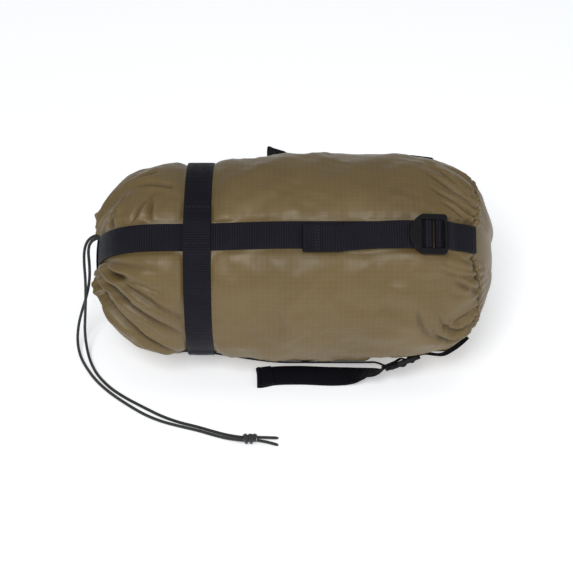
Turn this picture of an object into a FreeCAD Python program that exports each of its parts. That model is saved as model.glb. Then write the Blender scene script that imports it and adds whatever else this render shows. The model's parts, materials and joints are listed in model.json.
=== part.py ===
"""Compression stuff sack holding a packed sleeping bag, lying on its side.

Units are millimetres. X runs along the sack from its mouth to its base, Z is up, and
the origin is on the ground under the middle of the sack. The front is towards -Y.
"""
import FreeCAD, Part
import math
import os
from FreeCAD import Vector

# ---- the sack ---------------------------------------------------------------------
sack_length = 371.0          # outermost mouth fabric to outermost base fabric
sack_radius = 98.5           # widest part, behind the buckles
neck_radius = 88.0           # where the ring strap draws the mouth end in
neck_rise = 100.0            # length over which the neck opens out to full girth
mouth_dome = 80.0            # length of the rounded mouth end
base_dome = 106.0            # length of the rounded base end
dome_along = 3.0             # how square the domes are: power along the sack
dome_across = 2.1            # and power across it
ground_press = 3.5           # how far the stuffed sack is pressed flat by its weight
fabric = 0.8                 # doubled and gathered cloth of the panels
slack = 0.4                  # room between two soft layers
base_seam_in = 23.5          # base seam, measured in from the base end

# ---- the gathered mouth -------------------------------------------------------------
collar_beyond = 19.5         # rim of the gathered mouth, beyond the edge of its straps
collar_hole = 8.0
collar_depth = 13.0
collar_round = 1.5
ring_beyond = 11.5           # the drawcord in its hem, beyond the same edge
hem_channel = 2.3            # radius of the hem's channel
eyelet = 3.9                 # half height of the slot that the cord leaves by
eyelet_roll = 8.0

# ---- webbing ------------------------------------------------------------------------
web_width = 25.0
web = 1.4
crease = 0.1                 # extra thickness where a strap is creased over the mouth
strap_rolls = {"upper_front": -37.0, "upper_rear": 70.0, "lower_rear": 143.0,
               "lower_front": -136.0}
ring_from_mouth = 96.3       # middle of the ring strap
ring_width = 25.0
ring_lap = 26.0              # degrees of girth over which the ring's ends overlap
hem_fold = 15.0              # folded end of every tail

# ---- ladder lock buckles -------------------------------------------------------------
lock_width = 36.4
lock_rear = 8.1              # anchor bar to the frame's rear edge
lock_front = 26.0            # anchor bar to the tip of the lifting tab
lock_thick = 4.0
rear_bar = 2.2
anchor_bar = 1.75            # radius
middle_bar = 4.6
middle_bar_at = 9.0
bar_thick = 3.0
front_bar_at = 15.2
tab_thick = 2.2
tab_under = -0.7             # underside of the tab, from the anchor bar's centre
web_room = 0.5               # webbing to the side rails
loop_room = 0.1              # anchor webbing to its bar
rear_room = 0.45             # anchor webbing to the rear bar above it
turn_room = 0.15             # strap to the middle bar that it turns round
turn_bend = 0.25             # inside radius of the strap's folds there
tail_room = 0.45             # tail to the tab above it
rail_bite = 1.0              # how far the anchor bar runs into each side rail
corner_round = 3.0           # rear corners of the frame
anchor_leave = 5.2           # behind the bar, where the anchor's two layers meet
anchor_rear = 1.2            # straight webbing kept behind the frame
anchor_settle = 7.0          # further on, where it lies on the fabric
mouth_lead = 2.0             # straight strap in front of the tab
tab_round = 12.0             # how far back the tab's rounded front begins

bar_from_seam = {"upper_front": 36.0, "upper_rear": 36.0, "lower_rear": 36.0,
                 "lower_front": 53.0}
lock_lean = {"upper_front": 0.0, "upper_rear": 0.0, "lower_rear": 0.0, "lower_front": 20.0}
tail_reach = {"upper_front": 120.0, "upper_rear": 151.0, "lower_rear": 112.0}
tail_flare = {"upper_front": 0.0, "upper_rear": 16.0, "lower_rear": 0.0}
dent_depth = 8.0             # how far the low front buckle sinks into the stuffing
dent_room = 4.0
climb_length = 28.0          # over which a strap rises from the fabric to its buckle
flare_length = 60.0          # over which a stiff tail end lifts off the sack

# ---- the drawcord --------------------------------------------------------------------
cord_thick = 3.0
knot_radius = 5.0
knot_length = 13.4
knot_round = 1.6
drawn_mouth = -185.5         # the cord routes are drawn for a mouth here,
drawn_axis = 95.0            # an axis at this height,
drawn_ring = 24.0            # a hem of this radius
drawn_lie = 1.6              # and a cord whose middle lies this far off the ground
cord_clear = 0.1             # knot to the ground
cord_1_route = [(-175.5, 3.1, 117.0), (-182.5, 3.1, 117.2), (-189.5, 3.0, 117.0),
                (-195.5, 2.0, 111.8), (-197.5, 0.0, 103.0), (-197.2, -1.8, 89.0),
                (-198.0, -4.6, 72.5), (-201.6, -8.4, 55.5), (-207.8, -14.0, 38.5),
                (-212.0, -20.0, 23.5), (-213.2, -27.5, 9.8), (-210.2, -38.0, 1.6),
                (-203.0, -53.6, 1.6), (-191.6, -72.2, 1.6), (-176.4, -88.9, 1.6),
                (-160.0, -103.0, 1.6), (-142.7, -116.4, 1.6), (-125.3, -125.6, 1.6),
                (-108.2, -131.4, 1.6), (-91.2, -136.6, 1.6), (-74.3, -143.3, 1.6),
                (-61.0, -148.9, 3.2), (-49.8, -152.1, 5.1)]
cord_2_route = [(-175.5, 3.6, 120.4), (-182.5, 3.6, 120.6), (-190.0, 3.4, 120.4),
                (-197.2, 1.8, 115.4), (-200.8, -1.0, 106.5), (-201.8, -4.6, 93.5),
                (-201.4, -9.4, 76.5), (-202.2, -14.4, 58.0), (-203.8, -19.4, 39.5),
                (-205.2, -25.4, 22.5), (-203.6, -33.9, 8.8), (-199.6, -46.0, 1.6),
                (-191.1, -64.5, 1.6), (-177.2, -82.0, 1.6), (-161.2, -95.3, 1.6),
                (-143.3, -107.4, 1.6), (-125.6, -119.0, 1.6), (-108.4, -126.9, 1.6),
                (-91.4, -132.2, 1.6), (-74.6, -138.9, 1.6), (-61.0, -144.9, 3.2),
                (-49.8, -148.5, 5.1)]
tip_1_route = [(-36.4, -152.1, 5.1), (-27.0, -153.1, 4.2), (-16.6, -155.2, 1.9)]
tip_2_route = [(-36.4, -148.5, 5.1), (-27.0, -147.9, 4.2), (-16.6, -146.4, 1.9)]

# ---- the low front tail: (x, y, z, turn of its width below level) ------------------------
floor_tail = [(78.0, -74.5, 15.5, 40.0), (72.0, -71.5, 11.0, 32.0), (65.5, -68.8, 6.9, 22.0),
              (58.0, -67.0, 3.6, 11.0), (48.5, -65.7, 1.5, 3.0), (36.0, -65.5, 1.1, 0.0),
              (2.0, -64.0, 1.1, 0.0), (-21.0, -65.0, 1.1, 0.0)]
floor_tail_end = (-36.0, -68.0, 1.1, 0.0)

# ---- worked out ------------------------------------------------------------------------
axis_height = sack_radius - ground_press
mouth_x = -sack_length / 2
base_x = sack_length / 2
neck_x = mouth_x + mouth_dome
shoulder_x = base_x - base_dome
seam_x = base_x - base_seam_in
ring_x = mouth_x + ring_from_mouth
ring_from = ring_x - ring_width / 2
collar_radius = collar_beyond + web_width / 2
cord_ring = ring_beyond + web_width / 2
ring_to = ring_x + ring_width / 2
under_ring = math.hypot(neck_radius + slack + web, web_width / 2) - neck_radius + slack
axis_line = Vector(1, 0, 0)
far = 400.0
os.makedirs("parts", exist_ok=True)


def save(name, shape):
    """Write one piece and say what it is."""
    solids = len(shape.Solids)
    if not shape.isValid() or solids != 1:
        print("CHECK", name, "valid", shape.isValid(), "solids", solids)
    shape.exportStep("parts/" + name + ".step")
    print(name, "volume", round(shape.Volume, 1))


# ---- the sack's outline ------------------------------------------------------------------
def girth(x):
    """Radius of the fabric at station x, its slope, and the direction that it faces."""
    rise = min(max((x - neck_x) / neck_rise, 0.0), 1.0)
    radius = neck_radius + (sack_radius - neck_radius) * rise * rise * (3 - 2 * rise)
    slope = (sack_radius - neck_radius) * 6 * rise * (1 - rise) / neck_rise
    if x < neck_x:
        along = min((neck_x - x) / mouth_dome, 1.0)
        side = -1.0
        length = mouth_dome
    elif x > shoulder_x:
        along = min((x - shoulder_x) / base_dome, 1.0)
        side = 1.0
        length = base_dome
    else:
        tilt = math.hypot(slope, 1.0)
        return radius, (-slope / tilt, 1.0 / tilt)
    across = (1.0 - along ** dome_along) ** (1.0 / dome_across)
    face_x = side * dome_along * along ** (dome_along - 1) / length
    face_r = dome_across * across ** (dome_across - 1) / radius
    tilt = math.hypot(face_x, face_r)
    return radius * across, (face_x / tilt, face_r / tilt)


def cover(x, lift):
    """The point (x, r) that stands `lift` off the fabric at station x."""
    radius, face = girth(x)
    return x + face[0] * lift, radius + face[1] * lift


def stations(start, stop, coarse=11.0):
    """Stations along the fabric, closer together round the two domes."""
    turns = [math.radians(a) for a in range(90, 4, -5)]
    marks = [neck_x - mouth_dome * math.sin(a) ** (2 / dome_along) for a in turns]
    marks += [shoulder_x + base_dome * math.sin(a) ** (2 / dome_along) for a in turns]
    count = int((shoulder_x - neck_x) / coarse)
    marks += [neck_x + (shoulder_x - neck_x) * i / count for i in range(count + 1)]
    inside = [m for m in sorted(marks) if start + 2.0 < m < stop - 2.0]
    return [start] + inside + [stop]


def cover_line(start, stop, lift):
    return [cover(x, lift) for x in stations(start, stop)]


# ---- building blocks ---------------------------------------------------------------------
def points(line):
    return [Vector(x, 0, r) for x, r in line]


def curve(line):
    """A smooth edge through the points of a line."""
    spline = Part.BSplineCurve()
    spline.interpolate(points(line))
    return spline.toShape()


def between(first, second):
    """The face between two lines that run the same way, closed by straight ends."""
    edges = [curve(first), Part.LineSegment(*points([first[-1], second[-1]])).toShape(),
             curve(second), Part.LineSegment(*points([second[0], first[0]])).toShape()]
    return Part.Face(Part.Wire(Part.__sortEdges__(edges)))


def strip(first, second, width=web_width):
    """A flat strap whose faces follow two lines in the plane of the sack's axis."""
    face = between(first, second)
    face.translate(Vector(0, -width / 2, 0))
    return face.extrude(Vector(0, width, 0))


def on_roll(shape, roll):
    """Turn a piece made above the axis to its place round the sack."""
    placed = shape.copy()
    placed.rotate(Vector(0, 0, 0), axis_line, -roll)
    placed.translate(Vector(0, 0, axis_height))
    return placed


def box(low, high):
    size = [b - a for a, b in zip(low, high)]
    return Part.makeBox(size[0], size[1], size[2], Vector(*low))


def turned(lower, upper):
    """A ring about the sack's axis with the section between two lines."""
    ring = between(lower, upper).revolve(Vector(0, 0, 0), axis_line, 360)
    ring.translate(Vector(0, 0, axis_height))
    return ring


def dent(grow):
    """The hollow that the low front buckle presses into the stuffing."""
    bar = bar_x("lower_front")
    low = girth(bar)[0] - dent_depth - grow
    half = lock_width / 2 + dent_room + grow
    block = box((bar - lock_front - dent_room - grow, -half, low), (far, half, far))
    return on_roll(block, strap_rolls["lower_front"])


def form(inset):
    """The whole stuffed shape, drawn in by `inset` all over, with its flat underside."""
    line = cover_line(mouth_x, base_x, -inset)
    line[0] = (mouth_x + inset, 0.0)
    line[-1] = (base_x - inset, 0.0)
    core = Part.LineSegment(*points([line[-1], line[0]])).toShape()
    face = Part.Face(Part.Wire([curve(line), core]))
    body = face.revolve(Vector(0, 0, 0), axis_line, 360)
    body.translate(Vector(0, 0, axis_height))
    body = body.common(box((-far, -far, inset), (far, far, far)))
    return body.cut(dent(inset))


def tube(route, radius):
    """A cord: straight runs joined by arcs as large as the runs allow."""
    spots = [Vector(*p) for p in route]
    edges = []
    arcs = []
    last = spots[0]
    for before, here, after in zip(spots, spots[1:], spots[2:]):
        back = before - here
        ahead = after - here
        half_turn = (math.pi - back.getAngle(ahead)) / 2
        reach = 0.45 * min(back.Length, ahead.Length)
        arcs.append(reach / math.tan(half_turn))
        back.normalize()
        ahead.normalize()
        start = here + back * reach
        stop = here + ahead * reach
        inward = back + ahead
        inward.normalize()
        middle = here + inward * (arcs[-1] / math.cos(half_turn) - arcs[-1])
        edges.append(Part.LineSegment(last, start).toShape())
        edges.append(Part.Arc(start, middle, stop).toShape())
        last = stop
    edges.append(Part.LineSegment(last, spots[-1]).toShape())
    path = Part.Wire(edges)
    section = Part.Wire(Part.Circle(spots[0], spots[1] - spots[0], radius).toShape())
    solid = path.makePipeShell([section], True, False)
    print("  arcs", [round(a, 1) for a in arcs], "length", round(path.Length, 1),
          "volume share", round(solid.Volume / (math.pi * radius ** 2 * path.Length), 4))
    return solid


def rounded(corners, thickness, bend, width=web_width):
    """Webbing folded through sharp corners, with the same inside bend at each."""
    spots = [Vector(x, 0, z) for x, z in corners]
    across = Vector(0, 1, 0)
    sides = ([], [])
    for side, edges in zip((0.5, -0.5), sides):
        last = None
        for i, here in enumerate(spots):
            if i in (0, len(spots) - 1):
                run = spots[1] - here if i == 0 else here - spots[-2]
                run.normalize()
                spot = here + run.cross(across) * side * thickness
                if last:
                    edges.append(Part.LineSegment(last, spot).toShape())
                last = spot
                continue
            back = spots[i - 1] - here
            ahead = spots[i + 1] - here
            back.normalize()
            ahead.normalize()
            half_turn = (math.pi - back.getAngle(ahead)) / 2
            middle_bend = bend + thickness / 2
            reach = middle_bend * math.tan(half_turn)
            inward = back + ahead
            inward.normalize()
            centre = here + inward * (middle_bend / math.cos(half_turn))
            first = (back * -1).cross(across) * side * thickness
            second = ahead.cross(across) * side * thickness
            start = here + back * reach + first
            stop = here + ahead * reach + second
            radius = (start - centre).Length
            edges.append(Part.LineSegment(last, start).toShape())
            edges.append(Part.Arc(start, centre - inward * radius, stop).toShape())
            last = stop
    ends = []
    for pick in (0, -1):
        spots_at = [edges[pick].Vertexes[pick].Point for edges in sides]
        ends.append(Part.LineSegment(spots_at[0], spots_at[1]).toShape())
    wire = Part.Wire(Part.__sortEdges__(sides[0] + [ends[1]] + sides[1] + [ends[0]]))
    face = Part.Face(wire)
    face.translate(Vector(0, -width / 2, 0))
    return face.extrude(Vector(0, width, 0))


def ribbon(sections, thickness):
    """Webbing that twists: a rectangle at each (centre, width direction, face direction)."""
    wires = []
    for centre, wide, out in sections:
        corners = [centre + wide * (a * web_width / 2) + out * (b * thickness / 2)
                   for a, b in ((-1, -1), (1, -1), (1, 1), (-1, 1))]
        wires.append(Part.makePolygon(corners + corners[:1]))
    return Part.makeLoft(wires, True, True)


# ---- panels and stuffing ---------------------------------------------------------------------
def sack_panels():
    hollow = form(fabric)
    shell = form(0.0).cut(hollow)
    mouth = Part.makeCylinder(collar_radius, collar_depth * 2,
                              Vector(mouth_x - collar_depth, 0, axis_height), axis_line)
    save("side_panel", shell.common(box((-far, -far, -far), (seam_x, far, far))).cut(mouth))
    save("base_panel", shell.common(box((seam_x, -far, -far), (far, far, far))))


def stuffing():
    start = mouth_x - collar_depth
    recess = Part.makeCylinder(collar_radius + slack, collar_front() + collar_depth + slack - start,
                               Vector(start, 0, axis_height), axis_line)
    save("packed_sleeping_bag", form(fabric + slack).cut(recess))


def collar_front():
    """Where the mouth end has narrowed to the collar's radius."""
    share = (collar_radius / neck_radius) ** dome_across
    return neck_x - mouth_dome * (1.0 - share) ** (1.0 / dome_along) + slack / 2


def mouth_parts():
    front = collar_front()
    place = Vector(front, 0, axis_height)
    outer = collar_radius - slack
    collar = Part.makeCylinder(outer, collar_depth, place, axis_line)
    collar = collar.makeFillet(collar_round, collar.Edges)
    collar = collar.cut(Part.makeCylinder(collar_hole, collar_depth, place, axis_line))
    ring_place = Vector(front + collar_depth / 2, 0, axis_height)
    channel = Part.makeTorus(cord_ring, hem_channel, ring_place, axis_line)
    slot_width = cord_thick / 2 + slack
    slot = box((-collar_depth, -slot_width, cord_ring - eyelet), (0, slot_width, cord_ring + eyelet))
    slot.translate(Vector(front + collar_depth / 2, 0, 0))
    save("mouth_collar", collar.cut(channel).cut(on_roll(slot, eyelet_roll)))
    save("drawcord_loop", Part.makeTorus(cord_ring, cord_thick / 2, ring_place, axis_line))


# ---- straps over the mouth and along the sack ----------------------------------------------------
def over_mouth(low):
    """The half of a mouth strap from the pole to the middle of the ring strap."""
    lines = []
    for layer in (0, 1):
        line = []
        for x in stations(mouth_x, ring_x - 0.2):
            near_pole = min(max((neck_x - x) / mouth_dome, 0.0), 1.0) if low else 0.0
            lift = slack + layer * web + near_pole ** 2 * (web + 2 * slack)
            line.append(cover(x, lift))
        lines.append(line)
    return lines


def mouth_strap(roll):
    """One length of webbing over the mouth, from one side of the ring straight to the other."""
    both = []
    for line in over_mouth(False):
        other = [(x, -r) for x, r in reversed(line[1:])]
        both.append(other + line)
    return on_roll(strip(both[0], both[1]), roll)


def bent_mouth_strap(rolls):
    """The second strap, laid over the first: its halves meet at an angle over the mouth."""
    inner, outer = over_mouth(True)
    half = strip(inner, outer)
    start = outer[0][0] - crease
    pad = Part.makeCylinder(web_width / 2, web + 2 * crease, Vector(start, 0, axis_height), axis_line)
    return pad.fuse([on_roll(half, roll) for roll in rolls]).removeSplitter()


def ring_strap():
    band = turned(cover_line(ring_from, ring_to, under_ring),
                  cover_line(ring_from, ring_to, under_ring + web))
    lap = between(cover_line(ring_from, ring_to, under_ring + web - 0.1),
                  cover_line(ring_from, ring_to, under_ring + 2 * web))
    lap = lap.revolve(Vector(0, 0, 0), axis_line, ring_lap)
    lap = on_roll(lap, strap_rolls["upper_front"] + ring_lap * 0.75)
    return band.fuse(lap).removeSplitter()


def bar_x(side):
    return seam_x - bar_from_seam[side]


def lock_angle(side):
    """How far a buckle's front is lifted from the direction of the sack's axis."""
    bar = bar_x(side)
    rise = girth(bar - lock_front)[0] - girth(bar)[0]
    return math.atan2(rise, lock_front) + math.radians(lock_lean[side])


def fabric_height(side, x):
    """Radius of the fabric under a buckle, with the hollow that it has pressed."""
    radius = girth(x)[0]
    if lock_lean[side] and x > bar_x(side) - lock_front - dent_room:
        return min(radius, girth(bar_x(side))[0] - dent_depth)
    return radius


under_lock = -(bar_thick / 2 + 2 * web + 2 * slack)


def bar_height(side):
    """Radius of the anchor bar's centre that keeps the whole buckle off the fabric."""
    angle = lock_angle(side)
    needed = []
    for step in range(-5, 14):
        along = step * 2.0
        under = -(anchor_bar + loop_room + web) if along < 4.0 else under_lock
        if lock_lean[side] and along > 4.0:
            continue
        x = bar_x(side) - along * math.cos(angle) + under * math.sin(angle)
        height = along * math.sin(angle) + under * math.cos(angle)
        needed.append(fabric_height(side, x) + slack - height)
    return max(needed)


def lock_point(side, along, out):
    """A point of the buckle's own plane, `along` towards the mouth and `out` from the sack."""
    angle = lock_angle(side)
    x = bar_x(side) - along * math.cos(angle) + out * math.sin(angle)
    return x, bar_height(side) + along * math.sin(angle) + out * math.cos(angle)


def in_lock(shape, side):
    """Place a piece made about the anchor bar, front towards -X, on its side of the sack."""
    placed = shape.copy()
    placed.rotate(Vector(0, 0, 0), Vector(0, 1, 0), math.degrees(lock_angle(side)))
    placed.translate(Vector(bar_x(side), 0, bar_height(side)))
    return on_roll(placed, strap_rolls[side])


rail_inside = web_width / 2 + web_room
loop_outer = anchor_bar + loop_room + web
rear_under = 2 * web - loop_outer + rear_room
turn_rise = middle_bar_at - middle_bar / 2 - turn_room - web / 2
turn_fall = middle_bar_at + middle_bar / 2 + turn_room + web / 2
turn_top = bar_thick / 2 + turn_room + web / 2
tail_out = tab_under - tail_room - web / 2
run_out = tail_out - web - slack


def ladder_lock():
    """The buckle's frame, lying flat with its anchor bar on the Y axis."""
    half = lock_width / 2
    back = Vector(lock_rear, -half, 0)
    shoulder = lock_front - tab_round
    outline = [Part.LineSegment(back, Vector(lock_rear, half, 0)).toShape(),
               Part.LineSegment(Vector(lock_rear, half, 0), Vector(-shoulder, half, 0)).toShape(),
               Part.Arc(Vector(-shoulder, half, 0), Vector(-lock_front, 0, 0),
                        Vector(-shoulder, -half, 0)).toShape(),
               Part.LineSegment(Vector(-shoulder, -half, 0), back).toShape()]
    frame = Part.Face(Part.Wire(outline)).extrude(Vector(0, 0, lock_thick))
    frame.translate(Vector(0, 0, -lock_thick / 2))
    corners = [e for e in frame.Edges
               if abs(e.BoundBox.ZLength - lock_thick) < 0.1 and e.BoundBox.XMin > lock_rear - 0.1]
    frame = frame.makeFillet(corner_round, corners)
    tall = lock_thick
    front_of_bar = middle_bar_at - middle_bar / 2
    behind_slot = middle_bar_at + middle_bar / 2
    cuts = [((-front_of_bar, -tall), (lock_rear - rear_bar, tall)),
            ((lock_rear - rear_bar - 0.01, -tall), (lock_rear + 1, rear_under)),
            ((-front_bar_at, -tall), (-behind_slot, tall)),
            ((-behind_slot - 0.01, bar_thick / 2), (-front_of_bar + 0.01, tall)),
            ((-behind_slot - 0.01, -tall), (-front_of_bar + 0.01, -bar_thick / 2)),
            ((-lock_front - 1, -tall), (-front_bar_at + 0.01, tab_under)),
            ((-lock_front - 1, tab_under + tab_thick), (-front_bar_at + 0.01, tall))]
    for low, high in cuts:
        frame = frame.cut(box((low[0], -rail_inside, low[1]), (high[0], rail_inside, high[1])))
    bar = Part.makeCylinder(anchor_bar, 2 * (rail_inside + rail_bite),
                            Vector(0, -rail_inside - rail_bite, 0), Vector(0, 1, 0))
    return frame.fuse(bar).removeSplitter()


def strap_turn():
    """Webbing up through the buckle, over its middle bar and down again."""
    corners = [(-front_bar_at + 3.0, run_out), (-turn_rise, run_out), (-turn_rise, turn_top),
               (-turn_fall, turn_top), (-turn_fall, tail_out - web / 2 + 0.2)]
    return rounded(corners, web, turn_bend)


def anchor_piece(side):
    """Doubled webbing round the anchor bar, sewn into the base seam at its other end."""
    leave = anchor_leave
    top_at_leave = -loop_outer + 2 * web
    corners = [(0, loop_outer), (leave, top_at_leave), (leave, -loop_outer), (0, -loop_outer)]
    wedge = Part.Face(Part.makePolygon([Vector(x, 0, z) for x, z in corners + corners[:1]]))
    wedge.translate(Vector(0, -web_width / 2, 0))
    wedge = wedge.extrude(Vector(0, web_width, 0))
    start = Vector(0, -web_width / 2, 0)
    along = Vector(0, 1, 0)
    loop = Part.makeCylinder(loop_outer, web_width, start, along).fuse(wedge)
    loop = loop.cut(Part.makeCylinder(anchor_bar + loop_room, web_width, start, along))
    loop = in_lock(loop, side)
    behind = (loop_room - leave, -lock_rear - anchor_rear)
    lower = [lock_point(side, along, -loop_outer) for along in behind]
    upper = [lock_point(side, along, top_at_leave) for along in behind]
    seam_end = seam_x - 0.3
    settle = lower[-1][0] + anchor_settle
    while fabric_height(side, settle) < girth(settle)[0]:
        settle += 1.0
    line_x = stations(settle, seam_end, 6.0)
    lower += [cover(x, 2 * slack) for x in line_x]
    upper += [cover(x, 2 * slack + 2 * web) for x in line_x]
    tongue = on_roll(strip(lower, upper), strap_rolls[side])
    return loop.fuse(tongue).removeSplitter()


def climb(side, x):
    """Extra height of a flat strap at station x as it rises to the buckle."""
    end_x, end_r = lock_point(side, lock_front + mouth_lead, run_out)
    height = (end_r - girth(end_x)[0]) / girth(end_x)[1][1] - slack - web / 2
    share = min(max((x - end_x + climb_length) / climb_length, 0.0), 1.0)
    return height * share * share * (3 - 2 * share)


def strap_line(side, start, lift, out, last, flare=0.0):
    """A line along the sack and into the buckle, `lift` off the fabric and `out` in the buckle."""
    line = []
    stop = lock_point(side, lock_front + mouth_lead, out)[0]
    for x in stations(start, stop, 6.0)[:-1]:
        share = min(max((start + flare_length - x) / flare_length, 0.0), 1.0)
        line.append(cover(x, lift + climb(side, x) + flare * share ** 2))
    for along in (lock_front + mouth_lead, (lock_front + last) / 2, last):
        line.append(lock_point(side, along, out))
    return line


def run_piece(side):
    """Load-bearing stretch from the ring strap to the underside of the buckle."""
    start = ring_x + 0.2
    last = front_bar_at - 2.5
    lines = []
    for layer in (0, 1):
        lift = slack + layer * web
        out = run_out + (layer - 0.5) * web
        if lock_lean[side]:
            leave = bar_x(side) - lock_front - dent_room + 2.0
            lines.append(cover_line(start, leave, lift) + [lock_point(side, last, out)])
        else:
            lines.append(strap_line(side, start, lift, out, last))
    return on_roll(strip(lines[0], lines[1]), strap_rolls[side])


def flat_tail(side):
    """Spare end lying on its own strap, out of the buckle towards the mouth, hem folded over."""
    stop = bar_x(side) - tail_reach[side]
    flare = tail_flare[side]
    last = turn_fall + web / 2 + 0.4
    lines = []
    for layer in (0, 1):
        lift = 2 * slack + (layer + 1) * web
        lines.append(strap_line(side, stop, lift, tail_out + (layer - 0.5) * web, last, flare))
    body = strip(lines[0], lines[1])
    fold = []
    for lift in (2 * slack + 1.5 * web, 2 * slack + 3 * web):
        marks = [stop + hem_fold * i / 4 for i in range(5)]
        fold.append([cover(x, lift + flare * (1 - (x - stop) / flare_length) ** 2) for x in marks])
    return on_roll(body.fuse(strip(fold[0], fold[1])).removeSplitter(), strap_rolls[side])


def fallen_tail():
    """Spare end of the low front strap, twisting down to lie flat on the ground."""
    side = "lower_front"
    roll = math.radians(strap_rolls[side])
    outward = Vector(0, math.sin(roll), math.cos(roll))
    wide = Vector(0, -math.cos(roll), math.sin(roll))
    angle = lock_angle(side)
    out = Vector(math.sin(angle), 0, 0) + outward * math.cos(angle)
    sections = []
    for along in (turn_fall + web / 2 + 0.4, lock_front + 0.5):
        x, r = lock_point(side, along, tail_out)
        sections.append((Vector(x, 0, axis_height) + outward * r, wide, out))
    ground = [(x, y, z, turn) for x, y, z, turn in floor_tail + [floor_tail_end]]
    for i, (x, y, z, turn) in enumerate(ground):
        after = Vector(*ground[i + 1][:3]) if i + 1 < len(ground) else None
        here = Vector(x, y, z)
        before = sections[-1][0]
        run = (after - before) if after else (here - before)
        run.normalize()
        across = Vector(0, math.cos(math.radians(turn)), -math.sin(math.radians(turn)))
        face = across.cross(run * -1)
        face.normalize()
        across = (run * -1).cross(face) * -1
        across.normalize()
        sections.append((here, across, face if face.z > 0 else face * -1))
    tail = ribbon(sections, web)
    end = sections[-1]
    run = end[0] - sections[-2][0]
    run.normalize()
    lift = Vector(0, 0, web)
    hem = ribbon([(end[0] - run * hem_fold + lift, end[1], end[2]), (end[0] + lift, end[1], end[2])],
                 web)
    return tail.fuse(hem)


def fitted(route):
    """A cord's route on this sack: out of its mouth, down to the ground and along it."""
    lie = cord_thick / 2 + cord_clear
    stretch = (axis_height - lie) / (drawn_axis - drawn_lie)
    angle = math.radians(eyelet_roll)
    spread = cord_ring - drawn_ring
    points = []
    for x, y, z in route:
        x += mouth_x - drawn_mouth
        if z > drawn_axis:
            points.append((x, y + spread * math.sin(angle),
                           z - drawn_axis + axis_height + spread * math.cos(angle)))
        else:
            points.append((x, y, lie + (z - drawn_lie) * stretch))
    return points


# ---- put together ---------------------------------------------------------------------------------
sack_panels()
stuffing()
mouth_parts()
save("cross_strap_upper_front", mouth_strap(strap_rolls["upper_front"]))
save("cross_strap_upper_rear",
     bent_mouth_strap([strap_rolls["upper_rear"], strap_rolls["lower_front"]]))
save("ring_strap", ring_strap())
for side in strap_rolls:
    save("buckle_anchor_" + side, anchor_piece(side))
    save("strap_run_" + side, run_piece(side))
    save("ladder_lock_" + side, in_lock(ladder_lock(), side))
    save("strap_turn_" + side, in_lock(strap_turn(), side))
    x, r = lock_point(side, 0, 0)
    roll = math.radians(strap_rolls[side])
    print("  anchor bar", round(x, 2), round(r * math.sin(roll), 2),
          round(axis_height + r * math.cos(roll), 2), "across", round(math.cos(roll), 5),
          round(-math.sin(roll), 5), "lift", round(math.degrees(lock_angle(side)), 2))
for side in tail_reach:
    save("strap_tail_" + side, flat_tail(side))
save("strap_tail_lower_front", fallen_tail())
cord_1 = fitted(cord_1_route)
cord_2 = fitted(cord_2_route)
save("drawcord_end_1", tube(cord_1, cord_thick / 2))
save("drawcord_end_2", tube(cord_2, cord_thick / 2))
save("drawcord_tip_1", tube(fitted(tip_1_route), cord_thick / 2))
save("drawcord_tip_2", tube(fitted(tip_2_route), cord_thick / 2))
knot_at = Vector(cord_1[-1][0], (cord_1[-1][1] + cord_2[-1][1]) / 2, knot_radius + cord_clear)
knot = Part.makeCylinder(knot_radius, knot_length, knot_at, axis_line)
save("drawcord_knot", knot.makeFillet(knot_round, knot.Edges))
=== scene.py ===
"""The looks of a packed compression stuff sack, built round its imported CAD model.

Metres, in the model's own frame: the mouth is at -X, the base at +X, the front at -Y.
"""
import json
import math

import bpy
import numpy as np
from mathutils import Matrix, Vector


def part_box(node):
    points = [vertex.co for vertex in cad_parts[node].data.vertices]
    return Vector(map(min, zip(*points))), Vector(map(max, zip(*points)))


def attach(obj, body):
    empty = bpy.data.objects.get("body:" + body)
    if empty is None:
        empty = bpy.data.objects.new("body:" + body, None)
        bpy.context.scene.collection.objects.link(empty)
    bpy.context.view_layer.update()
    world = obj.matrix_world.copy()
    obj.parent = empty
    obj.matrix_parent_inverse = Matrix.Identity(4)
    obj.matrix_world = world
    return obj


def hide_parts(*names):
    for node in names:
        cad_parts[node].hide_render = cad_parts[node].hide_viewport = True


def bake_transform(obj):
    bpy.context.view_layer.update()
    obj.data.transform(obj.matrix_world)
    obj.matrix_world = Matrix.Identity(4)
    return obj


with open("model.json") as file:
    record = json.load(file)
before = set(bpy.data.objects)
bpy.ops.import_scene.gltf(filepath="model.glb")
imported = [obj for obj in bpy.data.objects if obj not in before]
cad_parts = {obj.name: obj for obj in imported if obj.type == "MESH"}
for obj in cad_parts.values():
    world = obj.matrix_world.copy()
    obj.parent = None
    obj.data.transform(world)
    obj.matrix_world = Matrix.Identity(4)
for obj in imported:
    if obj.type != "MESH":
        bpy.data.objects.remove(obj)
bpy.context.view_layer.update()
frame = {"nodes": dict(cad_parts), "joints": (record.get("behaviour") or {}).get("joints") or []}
mm = 0.001

# ---- studio -----------------------------------------------------------------------------
# A white table top under a large soft light from the front, seen from 42 degrees above.
# The floor stops just under the sack so that the two faces never coincide.
view_down = math.radians(42)
looking = Vector((0, math.cos(view_down), -math.sin(view_down)))
above = Vector((0, math.sin(view_down), math.cos(view_down)))
aim = Vector((-9.05 * mm, 0, 95 * mm))
camera = bpy.data.objects.new("camera", bpy.data.cameras.new("camera"))
camera.data.lens = 99.2
camera.data.sensor_width = 36
camera.location = aim - looking * 1.505 - above * 0.0272
camera.rotation_euler = (math.pi / 2 - view_down, 0, 0)
bpy.context.scene.collection.objects.link(camera)
bpy.context.scene.camera = camera
bpy.context.scene.view_settings.view_transform = "Standard"

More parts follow.
